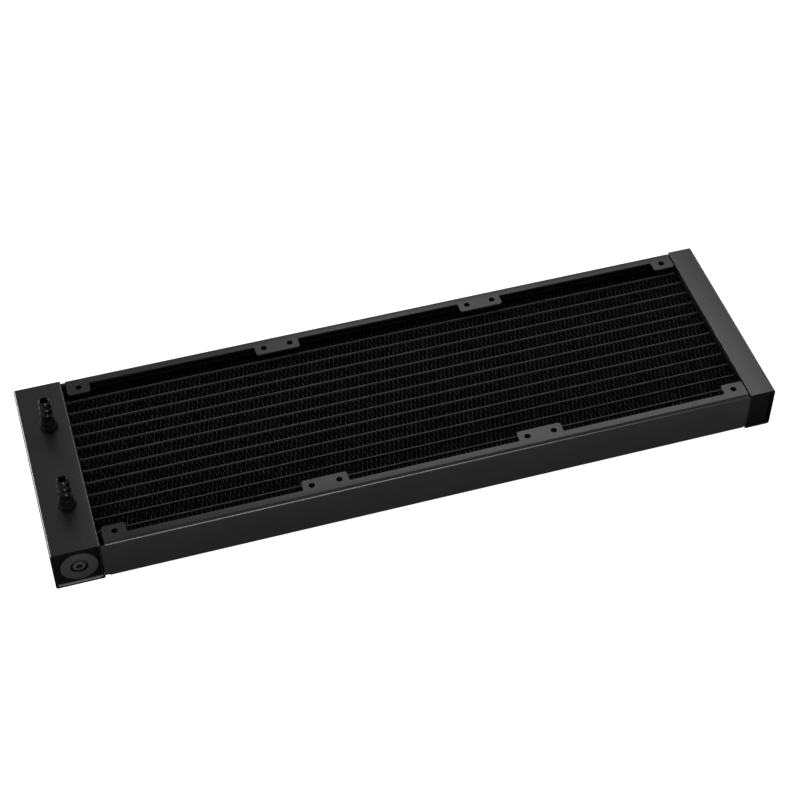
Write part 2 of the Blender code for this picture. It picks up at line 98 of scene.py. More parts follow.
# Rails
RAIL_SHEET = 1.2 * MM
RAIL_FOLD_RADIUS = 2.0 * MM
FLANGE_WIDTH = 5.4 * MM
FLANGE_LENGTH = 358 * MM
FAN_ROW_CENTRE = 6.5 * MM
FANS = 3
FAN_PITCH = 120 * MM
FAN_HOLE_SPACING = 105 * MM
SCREW_HOLE_RADIUS = 1.7 * MM
END_TAB_WIDTH = 12.5 * MM
MIDDLE_TAB_WIDTH = 25 * MM
TAB_CORNER_RADIUS = 1.4 * MM
TAB_ROOT_RADIUS = 0.8 * MM
SHEET_SOFTENING = 0.16 * MM

# Hose fittings, heights from the tank's top face
FITTING_EDGE = 0.25 * MM
BORE_RADIUS = 2.1 * MM
MOUTH_RADIUS = 2.6 * MM
SHANK_RADIUS = 3.1 * MM
SEAL_RADIUS = 3.6 * MM
HEX_BOTTOM = 0.55 * MM
HEX_TOP = 2.8 * MM
HEX_FLATS = 8.6 * MM
HEX_TURN = math.radians(-10)
HEX_CHAMFER = math.radians(30)
HEX_FACE_INSET = 0.12 * MM
COLLAR_RADIUS = 3.7 * MM
COLLAR_TOP = 6.9 * MM
COLLAR_EDGE_RADIUS = 0.5 * MM
BARBS = 3
BARB_PITCH = 4.1 * MM
BARB_HEIGHT = 11.2 * MM  # the first ridge's middle
BARB_ROUND = 0.5 * MM
BARB_ARC = (-80, 62)  # where the round starts and ends, in degrees
BARB_ROOT_RADIUS = 3.2 * MM
BARB_SWELL = 0.08 * MM  # from the root to the round's middle
BARB_SLOPE = (0.1 * MM, 0.75 * MM)  # the ridge's upper end, from the root and from the round's middle
BARB_NARROWING = 0.2 * MM  # from one barb to the next

# Relief port, depths from the tank's near end
NECK_RADIUS = 5.6 * MM
NECK_BORE_RADIUS = 2.7 * MM
WELL_RADIUS = 4.7 * MM
WELL_DEPTH = 2.4 * MM
DISC_EDGE_RADIUS = 0.3 * MM
PLUG_TRIM = 0.25 * MM  # how much smaller the head looks than its clearance
PLUG_SHANK_RADIUS = 2.5 * MM
VENT_RADIUS = 0.7 * MM
SOCKET_FLATS = 3 * MM
SOCKET_DEPTH = 2.2 * MM
BLADDER_WALL = 1 * MM
BLADDER_WAVES = 7
BLADDER_WAVE_DEPTH = 0.45 * MM

CURVE_STEPS = 8  # straight pieces in a quarter round
ROUND_STEPS = 64  # straight pieces in a full round
FINE_ROUND_STEPS = 96  # the same for the barbs and the relief port's disc
HOLE_STEPS = 32
SEAL_STEPS = 16
SHARP_ANGLE = math.radians(32)  # a steeper edge than this isn't shaded smooth

# Picture
FLOOR_SIZE = 12
FLOOR_DROP = 0.2 * MM
FLOOR_SHADE = 0.5
FLOOR_GLOW = 1.0
WORLD_LIGHT = 0.343
CAMERA_PLACE = (-197.3 * MM, -666.9 * MM, 778.4 * MM)
CAMERA_TILT = math.radians(42.50)
CAMERA_TURN = math.radians(-16.73)
CAMERA_LENS = 83.77


# ---------------------------------------------------------------- outlines


def rounded(corners, steps=CURVE_STEPS):
    """The outline through corners (x, y, radius), each rounded by an arc of its radius."""
    points = []
    for i, (x, y, radius) in enumerate(corners):
        corner = Vector((x, y))
        if radius == 0:
            points.append(corner)
            continue
        back = (Vector(corners[i - 1][:2]) - corner).normalized()
        ahead = (Vector(corners[(i + 1) % len(corners)][:2]) - corner).normalized()
        half_angle = back.angle(ahead) / 2
        centre = corner + (back + ahead).normalized() * (radius / math.sin(half_angle))
        start = corner + back * (radius / math.tan(half_angle)) - centre
        turn = math.pi - 2 * half_angle
        if back.x * ahead.y - back.y * ahead.x > 0:
            turn = -turn
        for step in range(steps + 1):
            points.append(centre + Matrix.Rotation(turn * step / steps, 2) @ start)
    return points


def rectangle(x0, x1, y0, y1, radius=0.0):
    return rounded([(x0, y0, radius), (x1, y0, radius), (x1, y1, radius), (x0, y1, radius)])


def ring_of(radius, centre=(0.0, 0.0), steps=ROUND_STEPS):
    angles = [math.tau * i / steps for i in range(steps)]
    return [Vector((centre[0] + radius * math.cos(a), centre[1] + radius * math.sin(a))) for a in angles]


def arc(centre, radius, start, end, steps):
    """Points (radius, height) on an arc, its angles in degrees up from straight outwards."""
    angles = [math.radians(start + (end - start) * i / steps) for i in range(steps + 1)]
    return [(centre[0] + radius * math.cos(a), centre[1] + radius * math.sin(a)) for a in angles]


# ---------------------------------------------------------------- meshes

ALONG_X = Matrix(((0, 0, 1), (1, 0, 0), (0, 1, 0))).to_4x4()  # an outline in Y and Z, its depth along X
ALONG_Y = Matrix(((1, 0, 0), (0, 0, 1), (0, 1, 0))).to_4x4()  # an outline in X and Z, its depth along Y
ALONG_Z = Matrix.Identity(4)


def filling(outlines, depth):
    """The flat faces of the first outline less the others, at that depth."""
    mesh = bmesh.new()
    edges = []
    for outline in outlines:
        verts = [mesh.verts.new((p[0], p[1], depth)) for p in outline]
        edges += [mesh.edges.new((v, verts[(i + 1) % len(verts)])) for i, v in enumerate(verts)]
    if len(outlines) == 1:
        mesh.faces.new(verts)
    else:
        bmesh.ops.triangle_fill(mesh, use_beauty=True, edges=edges, normal=(0, 0, 1))
    return mesh


def fence(outline, start, end):
    """The walls along the outline, from start to end."""
    mesh = bmesh.new()
    low, high = ([mesh.verts.new((p[0], p[1], depth)) for p in outline] for depth in (start, end))
    for i in range(len(outline)):
        j = (i + 1) % len(outline)
        mesh.faces.new((low[i], low[j], high[j], high[i]))
    return mesh


def slab(outlines, start, end, axis=ALONG_Z):
    """The first outline less the others, from start to end along the axis."""
    mesh = filling(outlines, start)
    raised = bmesh.ops.extrude_face_region(mesh, geom=mesh.faces[:], use_keep_orig=True)
    top = [v for v in raised["geom"] if isinstance(v, bmesh.types.BMVert)]
    bmesh.ops.translate(mesh, verts=top, vec=(0, 0, end - start))
    bmesh.ops.transform(mesh, matrix=axis, verts=mesh.verts)
    bmesh.ops.recalc_face_normals(mesh, faces=mesh.faces)
    return mesh


def turned(profile, place=(0, 0, 0), axis=ALONG_Z, steps=ROUND_STEPS, is_loop=True):
    """The profile (radius, height) turned round the axis. One that isn't a loop starts and ends on it."""
    mesh = bmesh.new()
    rings = []
    for radius, height in profile:
        count = steps if radius > 0 else 1
        angles = [math.tau * i / steps for i in range(count)]
        rings.append([mesh.verts.new((radius * math.cos(a), radius * math.sin(a), height)) for a in angles])
    pairs = list(zip(rings, rings[1:]))
    if is_loop:
        pairs.append((rings[-1], rings[0]))
    for one, other in pairs:
        for i in range(steps):
            j = (i + 1) % steps
            corners = [one[i % len(one)], one[j % len(one)], other[j % len(other)], other[i % len(other)]]
            mesh.faces.new(list(dict.fromkeys(corners)))
    bmesh.ops.transform(mesh, matrix=Matrix.Translation(place) @ axis, verts=mesh.verts)
    bmesh.ops.recalc_face_normals(mesh, faces=mesh.faces)
    return mesh


def chamfered_hexagon(flats, bore, bottom, top, place, axis=ALONG_Z, turn=0.0):
    """A hexagonal ring. A cone that just touches its flats cuts the corners of its top."""
    steps = 120
    apothem = flats / 2
    cone = apothem - HEX_FACE_INSET
    mesh = bmesh.new()
    rings = [[] for _ in range(5)]
    for i in range(steps):
        angle = math.tau * i / steps
        radius = apothem / math.cos(angle % (math.pi / 3) - math.pi / 6)
        drop = (radius - cone) * math.tan(HEX_CHAMFER)
        around = Vector((math.cos(angle + turn), math.sin(angle + turn), 0))
        outline = [(bore, bottom), (radius, bottom), (radius, top - drop), (cone, top), (bore, top)]
        for ring, (distance, height) in zip(rings, outline):
            ring.append(mesh.verts.new(around * distance + Vector((0, 0, height))))
    for one, other in zip(rings, rings[1:] + rings[:1]):
        for i in range(steps):
            j = (i + 1) % steps
            mesh.faces.new((one[i], one[j], other[j], other[i]))
    bmesh.ops.transform(mesh, matrix=Matrix.Translation(place) @ axis, verts=mesh.verts)
    bmesh.ops.recalc_face_normals(mesh, faces=mesh.faces)
    return mesh


def joined(meshes):
    whole = bmesh.new()
    for mesh in meshes:
        part = bpy.data.meshes.new("part")
        mesh.to_mesh(part)
        mesh.free()
        whole.from_mesh(part)
        bpy.data.meshes.remove(part)
    return whole


def welded(meshes):
    """Meshes that share edges or whole faces, joined to one solid: the shared faces are dropped."""
    whole = joined(meshes)
    bmesh.ops.remove_doubles(whole, verts=whole.verts, dist=1e-6)
    shared = [face for face in whole.faces if all(len(edge.link_faces) > 2 for edge in face.edges)]
    bmesh.ops.delete(whole, geom=shared, context="FACES_ONLY")
    bmesh.ops.recalc_face_normals(whole, faces=whole.faces)
    return whole


# ---------------------------------------------------------------- pieces


def middle(node):
    low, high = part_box(node)
    return (low + high) / 2


def piece(name, mesh, finish, replaces=()):
    """The mesh as an object of the radiator."""
    data = bpy.data.meshes.new(name)
    mesh.to_mesh(data)
    mesh.free()
    data.shade_smooth()
    data.set_sharp_from_angle(angle=SHARP_ANGLE)
    data.materials.append(finish)
    made = bpy.data.objects.new(name, data)
    bpy.context.scene.collection.objects.link(made)
    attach(made, "root")
    if replaces:
        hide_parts(*replaces)
    return made


def soften(made, width):
    """A small round on the piece's sharp edges."""
    bevel = made.modifiers.new("soften", "BEVEL")
    bevel.width = width
    bevel.segments = 3
    bevel.limit_method = "ANGLE"
    bevel.angle_limit = math.radians(40)
    bevel.harden_normals = True


def cut(target, mesh):
    """Cuts the mesh out of the target, which has no modifiers yet."""
    data = bpy.data.meshes.new("cutter")
    mesh.to_mesh(data)
    mesh.free()
    cutter = bpy.data.objects.new("cutter", data)
    bpy.context.scene.collection.objects.link(cutter)
    modifier = target.modifiers.new("cut", "BOOLEAN")
    modifier.object = cutter
    modifier.solver = "EXACT"
    bpy.context.view_layer.update()
    shaped = bpy.data.meshes.new_from_object(target.evaluated_get(bpy.context.evaluated_depsgraph_get()))
    target.modifiers.remove(modifier)
    shaped.name = target.name
    target.data = shaped
    bpy.data.objects.remove(cutter)


# ---------------------------------------------------------------- looks


def look(name, colour, roughness, metallic=0.0, specular=0.5):
    """A new material and its shader."""
    made = bpy.data.materials.new(name)
    made.use_nodes = True
    shader = made.node_tree.nodes["Principled BSDF"]
    shader.inputs["Base Color"].default_value = (*colour, 1)
    shader.inputs["Roughness"].default_value = roughness
    shader.inputs["Metallic"].default_value = metallic
    shader.inputs["Specular IOR Level"].default_value = specular
    return made, shader


def scaled(colour, factor):
    return [c * factor for c in colour]


def noise(tree, scale, detail=2.0, stretch=None):
    """A noise of that many features per metre, 0 to 1. stretch scales the three axes."""
    coordinate = tree.nodes.new("ShaderNodeTexCoord")
    texture = tree.nodes.new("ShaderNodeTexNoise")
    texture.inputs["Scale"].default_value = scale
    texture.inputs["Detail"].default_value = detail
    source = coordinate.outputs["Object"]
    if stretch:
        mapping = tree.nodes.new("ShaderNodeMapping")
        mapping.inputs["Scale"].default_value = stretch
        tree.links.new(source, mapping.inputs["Vector"])
        source = mapping.outputs["Vector"]
    tree.links.new(source, texture.inputs["Vector"])
    return texture.outputs["Fac"]


def spread(tree, source, low, high, start=0.3, end=0.7):
    """The source from start to end as a value from low to high."""
    mapped = tree.nodes.new("ShaderNodeMapRange")
    mapped.inputs["From Min"].default_value = start
    mapped.inputs["From Max"].default_value = end
    mapped.inputs["To Min"].default_value = low
    mapped.inputs["To Max"].default_value = high
    tree.links.new(source, mapped.inputs["Value"])
    return mapped.outputs["Result"]


def between(tree, factor, one, other):
    """A colour between two, each a colour or a socket."""
    mix = tree.nodes.new("ShaderNodeMix")
    mix.data_type = "RGBA"
    tree.links.new(factor, mix.inputs["Factor"])
    for socket, value in ((mix.inputs[6], one), (mix.inputs[7], other)):
        if isinstance(value, bpy.types.NodeSocket):
            tree.links.new(value, socket)
        else:
            socket.default_value = (*value, 1)
    return mix.outputs[2]


def relief(tree, layers):
    """A normal from bumps laid over each other, each (height source, height in metres)."""
    normal = None
    for source, height in layers:
        bump = tree.nodes.new("ShaderNodeBump")
        bump.inputs["Strength"].default_value = 1.0
        bump.inputs["Distance"].default_value = height
        tree.links.new(source, bump.inputs["Height"])
        if normal:
            tree.links.new(normal, bump.inputs["Normal"])
        normal = bump.outputs["Normal"]
    return normal


def edge_wear(tree, radius, start, end):
    """1 on sharp edges and 0 on flat faces, broken up by a fine noise.

    It starts and is full where the dot product of the rounded and the true normal is end and start.
    """
    bevel = tree.nodes.new("ShaderNodeBevel")
    bevel.samples = 4
    bevel.inputs["Radius"].default_value = radius
    geometry = tree.nodes.new("ShaderNodeNewGeometry")
    dot = tree.nodes.new("ShaderNodeVectorMath")
    dot.operation = "DOT_PRODUCT"
    tree.links.new(bevel.outputs["Normal"], dot.inputs[0])
    tree.links.new(geometry.outputs["Normal"], dot.inputs[1])
    edges = spread(tree, dot.outputs["Value"], 1.0, 0.0, start, end)
    broken = tree.nodes.new("ShaderNodeMath")
    broken.operation = "MULTIPLY"
    tree.links.new(edges, broken.inputs[0])
    tree.links.new(spread(tree, noise(tree, 900, 3), 0.2, 1.0), broken.inputs[1])
    return broken.outputs["Value"]


def powder_coat(name, colour, roughness, peel, specular=0.5):
    """Satin black coating: orange peel, a fine grain, a faint mottle and slightly polished edges."""
    made, shader = look(name, colour, roughness, specular=specular)
    tree = made.node_tree
    mottle = spread(tree, noise(tree, 55, 4), 0, 1)
    mottled = between(tree, mottle, scaled(colour, 0.86), scaled(colour, 1.16))
    worn = edge_wear(tree, radius=0.35 * MM, start=0.80, end=0.985)
    tree.links.new(between(tree, worn, mottled, scaled(colour, 2.2)), shader.inputs["Base Color"])
    grain = noise(tree, 5200, 2)
    rough = spread(tree, grain, roughness - 0.05, roughness + 0.05)
    tree.links.new(rough, shader.inputs["Roughness"])
    normal = relief(tree, [(noise(tree, 1500, 2), peel), (grain, peel * 0.25)])
    tree.links.new(normal, shader.inputs["Normal"])
    return made


def core_spray(name, colour, roughness, specular, edge=0.0, steepness=(0.6, 0.9), patchiness=1.0):
    """Thin spray coat on brazed foil: blotchy, streaked, and lighter on faces that point up or down, partly
    as worn-through metal and partly as a painted highlight.

    edge is how light those faces are painted. It starts and is full where the normal's height is as in
    steepness.
    """
    made, shader = look(name, colour, roughness, specular=specular)
    tree = made.node_tree
    blotches = spread(tree, noise(tree, 260, 4), 0, 1)
    colours = between(tree, blotches, colour, scaled(colour, 2.0))
    if edge:
        geometry = tree.nodes.new("ShaderNodeNewGeometry")
        split = tree.nodes.new("ShaderNodeSeparateXYZ")
        tree.links.new(geometry.outputs["Normal"], split.inputs["Vector"])
        height = tree.nodes.new("ShaderNodeMath")
        height.operation = "ABSOLUTE"
        tree.links.new(split.outputs["Z"], height.inputs[0])
        highlit_and_worn_mask = spread(tree, height.outputs["Value"], 0, 1, *steepness)
        patches = spread(tree, noise(tree, 700, 3), 0, 1, 0.4, 0.6)
        # faces pointing up or down are painted lighter: partly worn metal, partly a painted highlight
        worn_and_highlit_colour = between(tree, patches, [edge * (1 - 0.85 * patchiness)] * 3, [edge * (1 + patchiness)] * 3)
        colours = between(tree, highlit_and_worn_mask, colours, worn_and_highlit_colour)
    tree.links.new(colours, shader.inputs["Base Color"])
    streaks = noise(tree, 1600, 3, stretch=(1, 1, 0.15))
    tree.links.new(spread(tree, streaks, roughness - 0.08, roughness + 0.08), shader.inputs["Roughness"])
    tree.links.new(relief(tree, [(streaks, 0.02 * MM)]), shader.inputs["Normal"])
    return made


def anodised(name, colour, roughness, specular):
    """Black anodised turned metal: fine rings from the lathe round Z and brighter, rubbed ridges."""
    made, shader = look(name, colour, roughness, specular=specular)
    tree = made.node_tree
    worn = edge_wear(tree, radius=0.2 * MM, start=0.80, end=0.98)
    mottle = spread(tree, noise(tree, 700, 3), 0, 1)
    mottled = between(tree, mottle, colour, scaled(colour, 1.3))
    tree.links.new(between(tree, worn, mottled, scaled(colour, 3)), shader.inputs["Base Color"])
    rings = noise(tree, 500, 2, stretch=(0.4, 0.4, 22))
    tree.links.new(spread(tree, rings, roughness - 0.06, roughness + 0.08), shader.inputs["Roughness"])
    tree.links.new(relief(tree, [(rings, 0.0025 * MM)]), shader.inputs["Normal"])
    return made


def moulded(name, colour, roughness, grain_size, specular=0.5):
    """Matt moulded plastic or rubber: an even fine grain."""
    made, shader = look(name, colour, roughness, specular=specular)
    tree = made.node_tree
    grain = noise(tree, 1 / grain_size, 3)
    shade = spread(tree, noise(tree, 220, 4), 0, 1)
    colours = between(tree, shade, scaled(colour, 0.85), scaled(colour, 1.2))
    tree.links.new(colours, shader.inputs["Base Color"])
    tree.links.new(spread(tree, grain, roughness - 0.06, roughness + 0.06), shader.inputs["Roughness"])
    tree.links.new(relief(tree, [(grain, grain_size * 0.06)]), shader.inputs["Normal"])
    return made


def mill_aluminium(name, colour, roughness):
    """Bare rolled aluminium, with drawn streaks along X."""
    made, shader = look(name, colour, roughness, metallic=1.0)
    tree = made.node_tree
    streaks = noise(tree, 900, 4, stretch=(0.06, 1, 1))
    tree.links.new(between(tree, streaks, scaled(colour, 0.8), colour), shader.inputs["Base Color"])
    tree.links.new(spread(tree, streaks, roughness - 0.1, roughness + 0.12), shader.inputs["Roughness"])
    tree.links.new(relief(tree, [(streaks, 0.01 * MM)]), shader.inputs["Normal"])
    return made


COAT = powder_coat("satin_powder_coat", (0.008, 0.008, 0.0084), 0.3, 0.012 * MM)
# a darker, duller coat for the end caps, the header plates and the tanks' end rims: painted shade in the
# recesses and under the lips
PAINTED_SHADE_COAT = powder_coat("painted_shade_powder_coat", (0.0022, 0.0022, 0.0023), 0.6, 0.012 * MM, specular=0.07)
# a much lighter coat for the wide tank's rounded end rims: a painted highlight
PAINTED_HIGHLIGHT_COAT = powder_coat("painted_highlight_powder_coat", (0.15, 0.15, 0.153), 0.35, 0.012 * MM)
# the fins' edges are painted lighter: partly worn metal, partly a painted highlight
FIN_COAT = core_spray("fin_spray_coat", (0.0016, 0.0016, 0.0017), 0.4, 0.09, edge=0.039)
# the far strip's fins, their edges painted darker: painted shade from the far flange
FIN_COAT_PAINTED_SHADE = core_spray("fin_spray_coat_painted_shade", (0.0016, 0.0016, 0.0017), 0.4, 0.09, edge=0.009)
# the tubes' noses are painted lighter along their crest: a painted highlight
TUBE_COAT = core_spray(
    "tube_spray_coat", (0.0016, 0.0016, 0.0017), 0.4, 0.06, edge=0.057, steepness=(0.82, 0.97), patchiness=0.3
)
CHANNEL_COAT = core_spray("channel_spray_coat", (0.002, 0.002, 0.0021), 0.5, 0.1)
ANODISED = anodised("black_anodising", (0.0025, 0.0025, 0.0026), 0.12, specular=0.3)
NUT_BLACK = anodised("matt_black_anodising", (0.0025, 0.0025, 0.0026), 0.5, specular=0.12)
RELIEF_GREY = moulded("charcoal_plastic", (0.016, 0.016, 0.0168), 0.5, 0.2 * MM)
PLUG_BLACK = moulded("glossy_charcoal", (0.03, 0.03, 0.031), 0.22, 0.2 * MM)
# black for the plug's socket and the ring in the groove round its head: painted shade
PAINTED_SHADE_BLACK = moulded("painted_shade_black", (0.003, 0.003, 0.003), 0.8, 0.3 * MM, specular=0.1)
RUBBER = moulded("black_rubber", (0.012, 0.012, 0.012), 0.75, 0.3 * MM)
ALUMINIUM = mill_aluminium("mill_aluminium", (0.6, 0.61, 0.62), 0.38)


# ---------------------------------------------------------------- tanks


def tank_section(closed, lips, lip_edge):
    """The C section of a tank in X and Z, from the X of its closed side to the X of its lips."""
    inward = 1 if lips > closed else -1
    wall, edge, inner_edge = TANK_WALL * inward, TANK_EDGE_RADIUS, TANK_INNER_RADIUS
    return rounded(
        [
            (closed, 0, edge),
            (lips, 0, lip_edge),
            (lips, LIP_HEIGHT, 0),
            (lips - wall, LIP_HEIGHT, 0),
            (lips - wall, TANK_WALL, inner_edge),
            (closed + wall, TANK_WALL, inner_edge),
            (closed + wall, THICKNESS - TANK_WALL, inner_edge),
            (lips - wall, THICKNESS - TANK_WALL, inner_edge),
            (lips - wall, THICKNESS - LIP_HEIGHT, 0),
            (lips, THICKNESS - LIP_HEIGHT, 0),
            (lips, THICKNESS, lip_edge),
            (closed, THICKNESS, edge),
        ]
    )


def round_bottom_rims(mesh):
    """Rounds the bottom wall's inner edge at the tank's two open ends."""

    def is_on_rim(corner):
        is_at_end = abs(abs(corner.y) - HALF_WIDTH) < SLACK
        is_on_wall = TANK_WALL - SLACK < corner.z < TANK_WALL + TANK_INNER_RADIUS + SLACK
        return is_at_end and is_on_wall and left - SLACK < corner.x < right + SLACK

    left = min(v.co.x for v in mesh.verts) + TANK_WALL
    right = max(v.co.x for v in mesh.verts) - TANK_WALL
    rims = [edge for edge in mesh.edges if all(is_on_rim(v.co) for v in edge.verts)]
    bmesh.ops.bevel(mesh, geom=rims, offset=BOTTOM_RIM_RADIUS, segments=5, profile=0.5, affect="EDGES")


def tank_piece(name, mesh, rim_look, node):
    """A tank's shell. Its open ends' flat rims have the caps' darker coat, a painted shade, and their rounded
    parts rim_look.
    """
    mesh.normal_update()
    for face in mesh.faces:
        facing_end = abs(face.normal.y)
        is_flat_rim, is_rim = facing_end > 0.75, facing_end > 0.05
        face.material_index = 1 if is_flat_rim else 2 if is_rim else 0
    made = piece(name, mesh, COAT, [node])
    made.data.materials.append(PAINTED_SHADE_COAT)
    made.data.materials.append(rim_look)
    return made


def shank_holes():
    holes = []
    for fitting in ("inlet", "outlet"):
        centre = middle(f"{fitting}_hose_fitting")
        ring = ring_of(SHANK_RADIUS + GAP, (centre.x, centre.y))
        holes.append(slab([ring], THICKNESS - 2 * TANK_WALL, THICKNESS + TANK_WALL))
    return joined(holes)


def tank_shells():
    tanks = (
        # the wide tank's rounded rims are painted lighter: a painted highlight
        ("wide", WIDE_LOW.x, WIDE_HIGH.x, WIDE_LIP_RADIUS, PAINTED_HIGHLIGHT_COAT),
        # the return tank's rounded rims get the darker coat too: painted shade
        ("return", RETURN_HIGH.x, RETURN_LOW.x, RETURN_LIP_RADIUS, PAINTED_SHADE_COAT),
    )
    for tank, closed, lips, lip_edge, rim_look in tanks:
        mesh = slab([tank_section(closed, lips, lip_edge)], -HALF_WIDTH, HALF_WIDTH, ALONG_Y)
        round_bottom_rims(mesh)
        shell = tank_piece(f"{tank}_tank", mesh, rim_look, f"{tank}_tank_shell")
        if tank == "wide":
            cut(shell, shank_holes())
        soften(shell, RIM_SOFTENING)


def cap_mesh(low, high):
    """An end cap in X and Z whose border rises to the tank's walls as a brazed fillet."""
    centre = (low + high) / 2
    half = Vector((high.x - low.x, high.z - low.z)) / 2 + Vector((CAP_OVERLAP, CAP_OVERLAP))
    inner = half - Vector((CAP_FILLET, CAP_FILLET))
    sign = math.copysign(1, centre.y)  # the way out of the tank
    mesh = bmesh.new()

    def loop(size, y):
        sides = (centre.x - size.x, centre.x + size.x, centre.z - size.y, centre.z + size.y)
        return [mesh.verts.new((p.x, y, p.y)) for p in rectangle(*sides, CAP_CORNER_RADIUS)]

    face_y, back_y = (high.y, low.y) if sign > 0 else (low.y, high.y)
    steps = 5
    rings = []
    for i in range(steps + 1):
        turn = i / steps * math.pi / 2
        size = inner + (half - inner) * math.sin(turn)
        rings.append(loop(size, face_y + sign * CAP_FILLET * (1 - math.cos(turn))))
    rings.append(loop(half, back_y))
    for one, other in zip(rings, rings[1:]):
        for i in range(len(one)):
            j = (i + 1) % len(one)
            mesh.faces.new((one[i], one[j], other[j], other[i]))
    mesh.faces.new(rings[0])
    mesh.faces.new(rings[-1])
    bmesh.ops.recalc_face_normals(mesh, faces=mesh.faces)
    return mesh


def end_caps():
    for tank in ("wide", "return"):
        for side in ("near", "far"):
            node = f"{tank}_tank_{side}_cap"
            low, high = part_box(node)
            # the cap's darker coat is painted shade in the tank's end recess
            made = piece(f"{tank}_{side}_cap", cap_mesh(low, high), PAINTED_SHADE_COAT, [node])
            if (tank, side) == ("wide", "near"):
                centre = middle("relief_disc")
                hole = ring_of(NECK_RADIUS + GAP, (centre.x, centre.z))
                cut(made, slab([hole], low.y - 2 * MM, high.y + 2 * MM, ALONG_Y))


def stadium(low, high, grow=0.0):
    """A flat tube's outline in Y and Z, its ends full rounds."""
    radius = ((high.y - low.y) / 2 + grow) * 0.999  # just under a full round, whose arcs would meet
    return rectangle(low.y - grow, high.y + grow, low.z - grow, high.z + grow, radius)


def header_mesh(low, high, outward):
    """A plate that closes a tank, with a raised panel and a slot for each tube."""
    face, back = (high.x, low.x) if outward > 0 else (low.x, high.x)
    step = face - outward * PANEL_RISE
    outer = rectangle(-HALF_WIDTH, HALF_WIDTH, low.z, high.z)
    sides = (-PANEL_HALF_WIDTH, PANEL_HALF_WIDTH, low.z + GAP, high.z - GAP)
    panel = rectangle(*sides, PANEL_CORNER_RADIUS)
    slots = [stadium(*tube, grow=GAP) for tube in TUBES]
    faces = [filling([outer, *slots], back), filling([outer, panel], step), filling([panel, *slots], face)]
    faces += [fence(outer, back, step), fence(panel, step, face)]
    faces += [fence(slot, back, face) for slot in slots]
    whole = welded(faces)
    bmesh.ops.transform(whole, matrix=ALONG_X, verts=whole.verts)
    bmesh.ops.recalc_face_normals(whole, faces=whole.faces)
    return whole


def header_plates():
    """The plates that close the tanks, and the collars round the tubes' ends."""
    for tank, outward in (("wide", 1), ("return", -1)):
        node = f"{tank}_header_plate"
        low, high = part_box(node)
        # the header plate's darker coat is painted shade under the tank's lips
        piece(f"{tank}_header", header_mesh(low, high, outward), PAINTED_SHADE_COAT, [node])
        face = high.x if outward > 0 else low.x
        ends = sorted((face, face + outward * TUBE_COLLAR_HEIGHT))
        collars = []
        for tube in TUBES:
            ring = [stadium(*tube, grow=TUBE_COLLAR_WIDTH), stadium(*tube, grow=GAP)]
            collars.append(slab(ring, *ends, ALONG_X))
        piece(f"{tank}_header_collars", joined(collars), TUBE_COAT)


# ---------------------------------------------------------------- core


def tubes():
    for number, (low, high) in enumerate(TUBES, 1):
        wall = Vector((0, TUBE_WALL, TUBE_WALL))
        outlines = [stadium(low, high), stadium(low + wall, high - wall)]
        mesh = slab(outlines, low.x, high.x, ALONG_X)
        piece(f"tube_{number:02d}", mesh, TUBE_COAT, [f"flat_tube_{number:02d}"])


def fin_line(low, high, scatter):
    """The middle of the fin's sheet in X and Y, folded between two tubes, with a little scatter."""
    walls = round((high.x - low.x) / FIN_PITCH)
    step = (high.x - low.x - FIN_FOLD_WIDTH) / walls
    margin = FIN_SHEET / 2
    line = []
    for i in range(walls + 1):
        x = low.x + FIN_FOLD_WIDTH / 2 + i * step
        if 0 < i < walls:
            x += scatter.uniform(-FIN_SCATTER, FIN_SCATTER)
        edge, inward = (high.y - margin, -1) if i % 2 else (low.y + margin, 1)
        rise = edge + inward * FIN_FOLD_RISE
        half = FIN_FOLD_WIDTH / 2
        crest = edge + inward * FIN_CREST_RISE
        line += [(x - half, rise), (x - half / 2, crest), (x + half / 2, crest), (x + half, rise)]
    return [Vector(p) for p in line]


def thickened(line, thickness):
    """The closed outline of a sheet whose middle runs along the line."""
    sides = []
    for i in range(len(line)):
        back = line[max(i - 1, 0)]
        ahead = line[min(i + 1, len(line) - 1)]
        along = (ahead - back).normalized()
        sides.append(Vector((-along.y, along.x)) * thickness / 2)
    return [p + s for p, s in zip(line, sides)] + [p - s for p, s in zip(line, sides)][::-1]


def louvre_levels(bottom, top):
    """Where the fin's wall bends, each (height, lean along X): louvres at its bottom and top edges."""
    leans = [0.0] + [LOUVRE_LEAN if i % 2 else -LOUVRE_LEAN for i in range(1, LOUVRES)] + [0.0]
    low = [(bottom + i * LOUVRE_PITCH / 2, lean) for i, lean in enumerate(leans)]
    high = [(top - i * LOUVRE_PITCH / 2, lean) for i, lean in enumerate(leans)]
    return low + high[::-1]


def folded_sheet(line, thickness, levels):
    """The sheet of that line as a solid, with four-sided faces. It leans along X by each level's lean."""
    outline = thickened(line, thickness)
    count = len(line)
    mesh = bmesh.new()
    rings = [[mesh.verts.new((p.x + lean, p.y, height)) for p in outline] for height, lean in levels]
    for low, high in zip(rings, rings[1:]):
        for i in range(2 * count):
            j = (i + 1) % (2 * count)
            mesh.faces.new((low[i], low[j], high[j], high[i]))
    for ring in (rings[0], rings[-1]):
        for i in range(count - 1):
            mesh.faces.new((ring[i], ring[i + 1], ring[-2 - i], ring[-1 - i]))
    bmesh.ops.recalc_face_normals(mesh, faces=mesh.faces)
    return mesh


def fins():
    scatter = random.Random(7)
    for number, (low, high) in enumerate(FINS, 1):
        mesh = folded_sheet(fin_line(low, high, scatter), FIN_SHEET, louvre_levels(low.z, high.z))
        # the far strip's fin edges are painted darker: painted shade under its flange
        finish = FIN_COAT_PAINTED_SHADE if number == len(FINS) else FIN_COAT  # the far strip, under its flange
        piece(f"fins_{number:02d}", mesh, finish, [f"fin_strip_{number:02d}"])


# ---------------------------------------------------------------- rails


